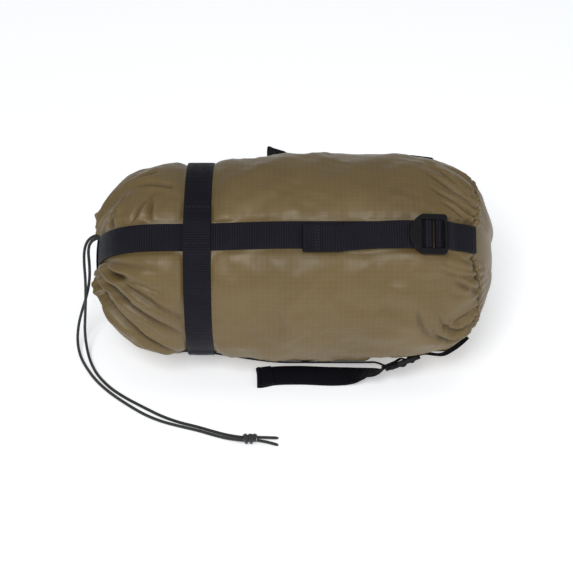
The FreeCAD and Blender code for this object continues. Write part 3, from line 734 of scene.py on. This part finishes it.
rosette_marks = np.stack([ring_of, petal_rolls * mouth_edge * 2 + 0 * ring_of, 0 * ring_of], axis=-1)
rosette = build("mouth_rosette", rosette_spots.reshape(-1, 3),
                grid_faces(rosette_rows, rosette_columns, True), [coyote], rosette_marks.reshape(-1, 3))
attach(rosette, "mouth_end")
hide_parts("mouth_collar")

# ---- webbing ------------------------------------------------------------------------------
# 25 mm black polypropylene webbing with cross ribs and plain selvedges, sewn with black
# thread: two straps cross over the mouth, a ring holds them down, and four compression
# straps run to their buckles. Tails end in a folded, stitched hem.
web_width = 25.0 * mm
web_thick = 1.4 * mm
slack = 0.4 * mm
rib_pitch = 2.2 * mm


def web_grain(start, place):
    split = start.node("ShaderNodeSeparateXYZ", {0: place})
    length = Shade(start.tree, split.socket.node.outputs[0])
    across = Shade(start.tree, split.socket.node.outputs[1])
    rib = start.maths("SINE", length * (2 * math.pi / rib_pitch)) * 0.5 + 0.5
    slanted = across * (2 * math.pi / (0.8 * mm)) + length * (math.pi / rib_pitch)
    warp = start.maths("SINE", slanted) * 0.5 + 0.5
    lint = start.node("ShaderNodeTexNoise", {"Vector": place, "Scale": 500.0, "Detail": 3.0})
    wear = start.node("ShaderNodeTexNoise", {"Vector": place, "Scale": 45.0, "Detail": 3.0})
    # painted shade across the ribs: the colour is lighter on the rib tops and darker in the valleys between
    # them
    return rib * 0.6 + warp * 0.35 + lint * 0.5, rib * 0.45 + wear * 0.4 + lint * 0.15


black_web = finish_of("black_webbing", ((0.0012, 0.0012, 0.0025), (0.015, 0.015, 0.023)), (0.58, 0.44),
                      web_grain, 0.42 * mm, Specular_IOR_Level=0.11)
black_thread = finish_of("black_thread", ((0.006, 0.006, 0.007), (0.03, 0.03, 0.034)), (0.5, 0.6),
                         braid_grain, 0.05 * mm)


def stitch(first, last, out, thick, arch=0.5):
    """One stitch: a thread that dips into the cloth at both ends."""
    first = np.asarray(first, float)
    last = np.asarray(last, float)
    out = np.asarray(out, float)
    way = (last - first) / np.linalg.norm(last - first)
    side = np.cross(way, out)
    verts = []
    for share, size, rise in ((0, 0.5, -0.7), (0.18, 0.95, 0.1), (0.5, 1, arch), (0.82, 0.95, 0.1),
                              (1, 0.5, -0.7)):
        middle = first + (last - first) * share + out * rise * thick / 2
        for j in range(6):
            angle = math.pi * j / 3
            verts.append(middle + (side * math.cos(angle) + out * math.sin(angle)) * size * thick / 2)
    faces = grid_faces(5, 6, True)
    faces.append(tuple(range(6))[::-1])
    faces.append(tuple(range(24, 30)))
    return verts, faces


class Webbing:
    """Flat webbing that follows a line of points, its width across `sides`."""

    def __init__(self, spots, sides, bow=0.0, width=web_width, thick=web_thick, pitch=0.55 * mm):
        self.centre, self.way, self.at = along(spots, pitch)
        given = np.array([tuple(p) for p in spots], float)
        marks = np.concatenate([[0], np.cumsum(np.linalg.norm(np.diff(given, axis=0), axis=1))])
        sides = np.array([tuple(p) for p in sides], float)
        side = np.stack([np.interp(self.at, marks, sides[:, k]) for k in range(3)], axis=-1)
        side -= self.way * (side * self.way).sum(1)[:, None]
        self.side = side / np.linalg.norm(side, axis=1)[:, None]
        self.out = np.cross(self.way, self.side)
        self.bow = bow
        self.width = width
        self.thick = thick
        self.sewn = []

    def point(self, at, across, lift):
        """A point on the webbing: along it, across it (-1 to 1) and off its outer face."""
        k = int(np.clip(np.searchsorted(self.at, at), 0, len(self.at) - 1))
        bowed = self.bow * across ** 2
        off = self.thick / 2 + lift - bowed
        return self.centre[k] + self.side[k] * across * self.width / 2 + self.out[k] * off, self.out[k]

    def sew(self, start, stop, pitch=2.6 * mm, thick=0.55 * mm, face=1.0):
        """A row of stitches between two places (along, across) on the webbing's face."""
        length = math.hypot(stop[0] - start[0], (stop[1] - start[1]) * self.width / 2)
        count = max(int(length / pitch), 1)
        for i in range(count):
            ends = []
            for share in ((i + 0.12) / count, (i + 0.88) / count):
                at = start[0] + (stop[0] - start[0]) * share
                across = start[1] + (stop[1] - start[1]) * share
                spot, out = self.point(at, across, 0.05 * mm)
                if face < 0:
                    spot = spot - out * (self.thick + 0.1 * mm)
                ends.append(spot)
            self.sewn.append(stitch(ends[0], ends[1], out * face, thick))

    def box_of(self, start, stop, inset=0.86):
        """A box stitch with its cross."""
        corners = [(start, -inset), (stop, -inset), (stop, inset), (start, inset)]
        for a, b in zip(corners, corners[1:] + corners[:1]):
            self.sew(a, b)
        self.sew(corners[0], corners[2])
        self.sew(corners[1], corners[3])

    def make(self, name, *nodes, first=0, last=None):
        """The mesh of one stretch of the webbing, with rib ridges across both faces."""
        outline_of = [(-1, 0.0), (-0.985, 0.36), (-0.93, 0.5), (-0.62, 0.5), (-0.3, 0.5), (0.0, 0.5),
                      (0.3, 0.5), (0.62, 0.5), (0.93, 0.5), (0.985, 0.36), (1, 0.0)]
        ring = outline_of + [(v, -h) for v, h in outline_of[-2:0:-1]]
        verts = []
        marks = []
        ribs = 1.0 + 0.11 * np.cos(2 * math.pi * self.at / rib_pitch)
        stretch = range(len(self.at))[first:last]
        for k in stretch:
            for v, h in ring:
                rib = ribs[k] if abs(v) < 0.9 else 1.0
                off = h * self.thick * rib - self.bow * v * v
                verts.append(self.centre[k] + self.side[k] * v * self.width / 2 + self.out[k] * off)
                marks.append((self.at[k], v * self.width / 2, 0))
        faces = grid_faces(len(stretch), len(ring), True)
        faces.append(tuple(range(len(ring)))[::-1])
        faces.append(tuple(range(len(verts) - len(ring), len(verts))))
        kinds = [0] * len(faces)
        for stitch_verts, stitch_faces in self.sewn:
            base = len(verts)
            verts += stitch_verts
            marks += [(0.001 * j, 0, 0) for j in range(len(stitch_verts))]
            faces += [tuple(base + i for i in face) for face in stitch_faces]
            kinds += [1] * len(stitch_faces)
        made = build(name, verts, faces, [black_web, black_thread], marks, kinds)
        if nodes:
            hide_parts(*nodes)
        return made


def place(x, r, roll):
    return (x, r * math.sin(roll), axis_height + r * math.cos(roll))


def cover(x, lift):
    r, face = girth(x)
    return x + face[0] * lift, r + face[1] * lift


def stations(start, stop, gap):
    """Stations between two, in even runs along the cloth."""
    first = run_at(start)
    last = run_at(stop)
    count = max(int(abs(last - first) / gap), 2)
    return list(np.interp(np.linspace(first, last, count + 1), line_run, line_x))


class Lock:
    """Where one buckle sits: its bar, its lean and points in its own plane."""

    front = 26.0 * mm
    slot = 15.2 * mm
    middle = 9.0 * mm
    middle_width = 4.6 * mm
    bar_thick = 3.0 * mm
    leans = {"lower_front": 20.0}

    def __init__(self, side):
        self.side = side
        self.roll = math.radians(strap_rolls[side])
        x, y, z = joints["lock_tilt_" + side]["pos_m"]
        self.x = x
        self.r = y * math.sin(self.roll) + (z - axis_height) * math.cos(self.roll)
        rise = girth(x - self.front)[0] - girth(x)[0]
        self.angle = math.atan2(rise, self.front) + math.radians(self.leans.get(side, 0.0))
        self.across = (0, math.cos(self.roll), -math.sin(self.roll))
        self.tail_out = -0.7 * mm - 0.45 * mm - web_thick / 2
        self.run_out = self.tail_out - web_thick - slack
        self.reach = self.front + 2.0 * mm

    def point(self, ahead, out):
        return (self.x - ahead * math.cos(self.angle) + out * math.sin(self.angle),
                self.r + ahead * math.sin(self.angle) + out * math.cos(self.angle))

    def spot(self, pair):
        return place(pair[0], pair[1], self.roll)

    def climb(self, x):
        """Extra height of a strap at station x as it rises to the buckle."""
        end_x, end_r = self.point(self.reach, self.run_out)
        height = (end_r - girth(end_x)[0]) / girth(end_x)[1][1] - slack - web_thick / 2
        share = min(max((x - end_x + 28 * mm) / (28 * mm), 0.0), 1.0)
        return height * share * share * (3 - 2 * share)


locks = {side: Lock(side) for side in strap_rolls}
far_tail = {"upper_front": 120.0 * mm, "upper_rear": 151.0 * mm, "lower_rear": 112.0 * mm}
tail_flare = {"upper_rear": 16.0 * mm}
hem_fold = 15.0 * mm
bow_on_sack = 0.55 * mm

for side, lock in locks.items():
    # From under the ring to the front of the buckle, lying on the cloth.
    low_one = side == "lower_front"
    line = []
    end_x = lock.point(lock.reach, lock.run_out)[0]
    stop = lock.x - lock.front - 2 * mm if low_one else end_x
    for x in stations(ring_x + 0.2 * mm, stop, 6 * mm)[:-1]:
        rise = 0.0 if low_one else lock.climb(x)
        line.append(cover(x, slack + web_thick / 2 + rise))
    line.append(lock.point(lock.reach if not low_one else lock.front - 1 * mm, lock.run_out))
    run = Webbing([lock.spot(p) for p in line], [lock.across] * len(line), bow_on_sack)
    run.sew((18 * mm, -0.85), (18 * mm, 0.85))
    strap = run.make("strap_" + side, "strap_run_" + side)
    seam_end = lock.point(lock.reach, 0)[0]
    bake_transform(strap)

    # Under the tab, up through the buckle, over its middle bar and down again.
    rise_at = lock.middle - lock.middle_width / 2 - 0.15 * mm - web_thick / 2
    fall_at = lock.middle + lock.middle_width / 2 + 0.15 * mm + web_thick / 2
    top_out = lock.bar_thick / 2 + 0.15 * mm + web_thick / 2
    bend = 0.95 * mm
    corners = [(lock.reach - 0.2 * mm, lock.run_out), (lock.slot, lock.run_out),
               (rise_at + bend, lock.run_out), (rise_at, lock.run_out + bend), (rise_at, top_out - bend),
               (rise_at + bend, top_out), (fall_at - bend, top_out), (fall_at, top_out - bend),
               (fall_at, lock.tail_out + bend), (fall_at + bend, lock.tail_out),
               (lock.slot + 1 * mm, lock.tail_out), (lock.front - 4 * mm, lock.tail_out)]
    turn = Webbing([lock.spot(lock.point(*c)) for c in corners], [lock.across] * len(corners),
                   width=web_width - 0.4 * mm, pitch=0.4 * mm)
    made = turn.make("strap_turn_at_" + side, "strap_turn_" + side)
    bend_from = lock.point(lock.reach, 0)[0]
    bend_from + 12 * mm
    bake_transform(made)

    # The anchor: webbing folded round the buckle's rear bar, both ends sewn into the base seam.
    loop_mid = 1.75 * mm + 0.1 * mm + web_thick / 2
    upper_out = -(1.85 * mm + web_thick) + 1.5 * web_thick
    lower_out = -(1.85 * mm + web_thick) + 0.5 * web_thick
    settle = lock.point(-9.3 * mm, -3 * mm)[0] + (7 * mm if not low_one else 24 * mm)
    sewn_at = float(np.interp(seam_run(lock.roll) + 0.6 * mm, line_run, line_x))
    tongue = stations(settle, sewn_at, 5 * mm)
    upper = [cover(x, 2 * slack + 1.5 * web_thick) for x in tongue[::-1]]
    lower = [cover(x, 2 * slack + 0.5 * web_thick) for x in tongue]
    arc = [lock.point(loop_mid * math.cos(a), loop_mid * math.sin(a))
           for a in np.linspace(math.pi / 2, -math.pi / 2, 9)]
    line = upper + [lock.point(-9.3 * mm, upper_out), lock.point(-5.2 * mm, upper_out)] + arc
    line += [lock.point(-5.2 * mm, lower_out), lock.point(-9.3 * mm, lower_out)] + lower
    anchor = Webbing([lock.spot(p) for p in line], [lock.across] * len(line), 0.2 * mm)
    anchor.sew((4 * mm, -0.85), (4 * mm, 0.85), face=-1.0)
    made = anchor.make("anchor_" + side, "buckle_anchor_" + side)
    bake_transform(made)

    # The spare end, out of the buckle and back along its own strap, its hem folded over.
    if low_one:
        continue
    stop = lock.x - far_tail[side]
    flare = tail_flare.get(side, 0.0)
    line = [lock.point(lock.front - 4 * mm, lock.tail_out), lock.point(lock.reach, lock.tail_out)]
    for x in stations(end_x - 3 * mm, stop, 6 * mm):
        share = min(max((stop + 60 * mm - x) / (60 * mm), 0.0), 1.0)
        line.append(cover(x, 2 * slack + 1.5 * web_thick + lock.climb(x) + flare * share ** 2))
    last = line[-1]
    turn_r = web_thick / 2 + 0.1 * mm
    for a in (30, 90, 150, 180):
        angle = math.radians(a)
        line.append((last[0] - turn_r * math.sin(angle), last[1] + turn_r * (1 - math.cos(angle))))
    for i in range(1, 4):
        x = stop + hem_fold * i / 3
        share = (stop + 60 * mm - x) / (60 * mm)
        line.append(cover(x, 2 * slack + 1.5 * web_thick + 2 * turn_r + flare * share ** 2))
    drift = 3.5 * mm if side == "upper_front" else 1.0 * mm
    spots = []
    for p in line:
        share = min(max((end_x - p[0]) / (60 * mm), 0.0), 1.0)
        side_step = np.array(lock.across) * -drift * share * share
        spots.append(tuple(np.array(lock.spot(p)) + side_step))
    spare = Webbing(spots, [lock.across] * len(line), 0.45 * mm)
    parting = int(np.argmax(spare.centre[:, 0] < lock.x - 50 * mm))
    made = spare.make("tail_start_" + side, last=parting + 1)
    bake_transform(made)
    for back in (2.2 * mm, 4.4 * mm):
        spare.sew((spare.at[-1] - back, -0.9), (spare.at[-1] - back, 0.9))
    made = spare.make("tail_of_" + side, "strap_tail_" + side, first=parting)
    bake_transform(made)

# ---- fallen tail ----------------------------------------------------------------------------
# The low front strap's spare end twists out of its buckle and lies flat on the table.
lock = locks["lower_front"]
ground_line = [(78.0, -74.5, 15.5, 40.0), (72.0, -71.5, 11.0, 32.0), (65.5, -68.8, 6.9, 22.0),
               (58.0, -67.0, 3.6, 11.0), (48.5, -65.7, 1.5, 3.0), (36.0, -65.5, 1.1, 0.0),
               (2.0, -64.0, 1.1, 0.0), (-21.0, -65.0, 1.1, 0.0), (-36.0, -68.0, 1.1, 0.0)]
spots = [lock.spot(lock.point(12.6 * mm, lock.tail_out)), lock.spot(lock.point(26.5 * mm, lock.tail_out))]
sides = [np.array(lock.across)] * 2
for x, y, z, turn in ground_line:
    spots.append((x * mm, y * mm, z * mm))
    sides.append(np.array((0, math.cos(math.radians(turn)), -math.sin(math.radians(turn)))) * -1)
end = np.array(spots[-1])
for x_off, z_off in ((-0.9, 0.35), (-1.0, 0.8), (-0.5, 1.45), (4.0, 1.5), (9.0, 1.5), (14.0, 1.5)):
    spots.append(tuple(end + np.array((x_off, 0.2 * x_off, z_off)) * mm))
    sides.append(sides[-1])
fallen = Webbing(spots, sides)
parting = int(np.argmax(fallen.centre[:, 0] < 58 * mm))
made = fallen.make("tail_start_lower_front", last=parting + 1)
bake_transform(made)
for back in (2.2 * mm, 4.4 * mm):
    fallen.sew((fallen.at[-1] - back, -0.9), (fallen.at[-1] - back, 0.9))
made = fallen.make("tail_of_lower_front", "strap_tail_lower_front", first=parting)
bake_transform(made)

# ---- mouth straps and ring -------------------------------------------------------------------
# Two straps cross over the closed mouth. The ring strap is sewn over their ends and over the
# starts of the compression straps, and its own ends overlap at the front.
mouth_straps = (("upper_front", strap_rolls["lower_rear"] - 180, 0.0),
                ("upper_rear", strap_rolls["lower_front"] + 180, 1.0))
for name, far_roll, over in mouth_straps:
    half = []
    for x in stations(mouth_x + 0.4 * mm, ring_x - 0.4 * mm, 5 * mm):
        near_pole = min(max((neck_x - x) / mouth_dome, 0.0), 1.0)
        half.append(cover(x, slack + web_thick / 2 + over * near_pole ** 2 * (web_thick + 2 * slack)))
    spots = []
    sides = []
    for x, r in [(x, -r) for x, r in half[::-1]] + half:
        near_side = float(step(r, -20 * mm, 20 * mm))
        roll = math.radians(strap_rolls[name] * near_side + far_roll * (1 - near_side))
        spots.append(place(x, r, roll))
        sides.append((0, math.cos(roll), -math.sin(roll)))
    crossing = Webbing(spots, sides, 0.5 * mm)
    for end_at in (14 * mm, crossing.at[-1] - 14 * mm):
        crossing.sew((end_at, -0.85), (end_at, 0.85), face=-1.0)
    made = crossing.make("mouth_strap_" + name, "cross_strap_" + name)
    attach(made, "mouth_end")

lap = math.radians(26.0)
lap_start = math.radians(strap_rolls["upper_front"]) - 0.25 * lap
spots = []
count = 150
for i in range(count + 1):
    turned = (2 * math.pi + lap) * i / count
    roll = lap_start + turned
    hump = 0.0
    for side in strap_rolls:
        gap = float(apart(np.array(roll), side))
        hump = max(hump, float(step(-gap, -math.radians(15), -math.radians(9))))
    on_top = float(step(turned, 2 * math.pi - math.radians(7), 2 * math.pi))
    lift = 0.35 * mm + 1.75 * mm * hump + on_top * (web_thick + 0.1 * mm)
    radius = girth(ring_x)[0] + web_thick / 2 + lift
    spots.append(place(ring_x, radius, roll))
ring = Webbing(spots, [(-1, 0, 0)] * len(spots))
total = ring.at[-1]
for inset in (2.5 * mm, 38 * mm):
    ring.sew((total - inset, -0.9), (total - inset, 0.9))
for side in strap_rolls:
    if side == "upper_front":
        continue
    gap = (math.radians(strap_rolls[side]) - lap_start) % (2 * math.pi)
    at = gap / (2 * math.pi + lap) * total
    ring.box_of(at - 10 * mm, at + 10 * mm)
made = ring.make("ring_band", "ring_strap")
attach(made, "mouth_end")

# ---- ladder locks -----------------------------------------------------------------------------
# Moulded black acetal, its edges rounded by the mould and a fine spark-eroded grain on it.
def acetal_grain(start, place):
    pitted = start.node("ShaderNodeTexNoise", {"Vector": start.node("ShaderNodeTexCoord", output="Object"),
                                               "Scale": 1500.0, "Detail": 3.0})
    rubbed = start.node("ShaderNodeTexNoise", {"Vector": start.node("ShaderNodeTexCoord", output="Object"),
                                               "Scale": 120.0, "Detail": 4.0})
    return pitted, rubbed


acetal = finish_of("black_acetal", ((0.003, 0.003, 0.004), (0.009, 0.009, 0.011)), (0.30, 0.42),
                   acetal_grain, 0.03 * mm, Specular_IOR_Level=0.16)
for side in strap_rolls:
    node = frame["nodes"]["ladder_lock_" + side]
    node.data.materials.clear()
    node.data.materials.append(acetal)
    weld = node.modifiers.new("weld", "WELD")
    weld.merge_threshold = 0.01 * mm
    edge = node.modifiers.new("moulded_edge", "BEVEL")
    edge.width = 0.45 * mm
    edge.segments = 3
    edge.limit_method = "ANGLE"
    edge.angle_limit = math.radians(35)

# ---- base seam stitching --------------------------------------------------------------------------
# Tan lockstitch all round the base seam, and a dense zigzag where each anchor is sewn in.
seam_verts = []
seam_faces = []


def add_stitch(run_a, roll_a, run_b, roll_b, thick, lift):
    runs_of = np.array([run_a, run_b])
    rolls_of = np.array([roll_a, roll_b])
    ends = settled(stand(runs_of, rolls_of, relief(runs_of, rolls_of) + lift))
    _, _, fx, fr = skin(runs_of[:1])
    out = (fx[0], fr[0] * math.sin(roll_a), fr[0] * math.cos(roll_a))
    verts, faces = stitch(ends[0], ends[1], out, thick)
    base = len(seam_verts)
    seam_verts.extend(verts)
    seam_faces.extend([tuple(base + i for i in face) for face in faces])


stitch_count = 190
for i in range(stitch_count):
    roll_a = 2 * math.pi * (i + 0.15) / stitch_count
    roll_b = 2 * math.pi * (i + 0.8) / stitch_count
    if min(apart(np.array(roll_a), side) for side in strap_rolls) < 13.5 * mm / (72 * mm):
        continue
    add_stitch(float(seam_run(roll_a)) + 2.6 * mm, roll_a, float(seam_run(roll_b)) + 2.6 * mm, roll_b,
               0.6 * mm, 0.1 * mm)
for side in strap_rolls:
    middle = math.radians(strap_rolls[side])
    half = 12.0 * mm / (72 * mm)
    teeth = 26
    for i in range(teeth):
        roll_a = middle - half + 2 * half * i / teeth
        roll_b = middle - half + 2 * half * (i + 1) / teeth
        near, far_side = (1.2 * mm, 4.2 * mm) if i % 2 else (4.2 * mm, 1.2 * mm)
        add_stitch(float(seam_run(roll_a)) + near, roll_a, float(seam_run(roll_b)) + far_side, roll_b,
                   0.5 * mm, 0.6 * mm)
seam_stitches = build("base_seam_stitches", seam_verts, seam_faces, [tan_thread],
                      [(0.001 * (i % 30), 0, 0) for i in range(len(seam_verts))])
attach(seam_stitches, "sack")
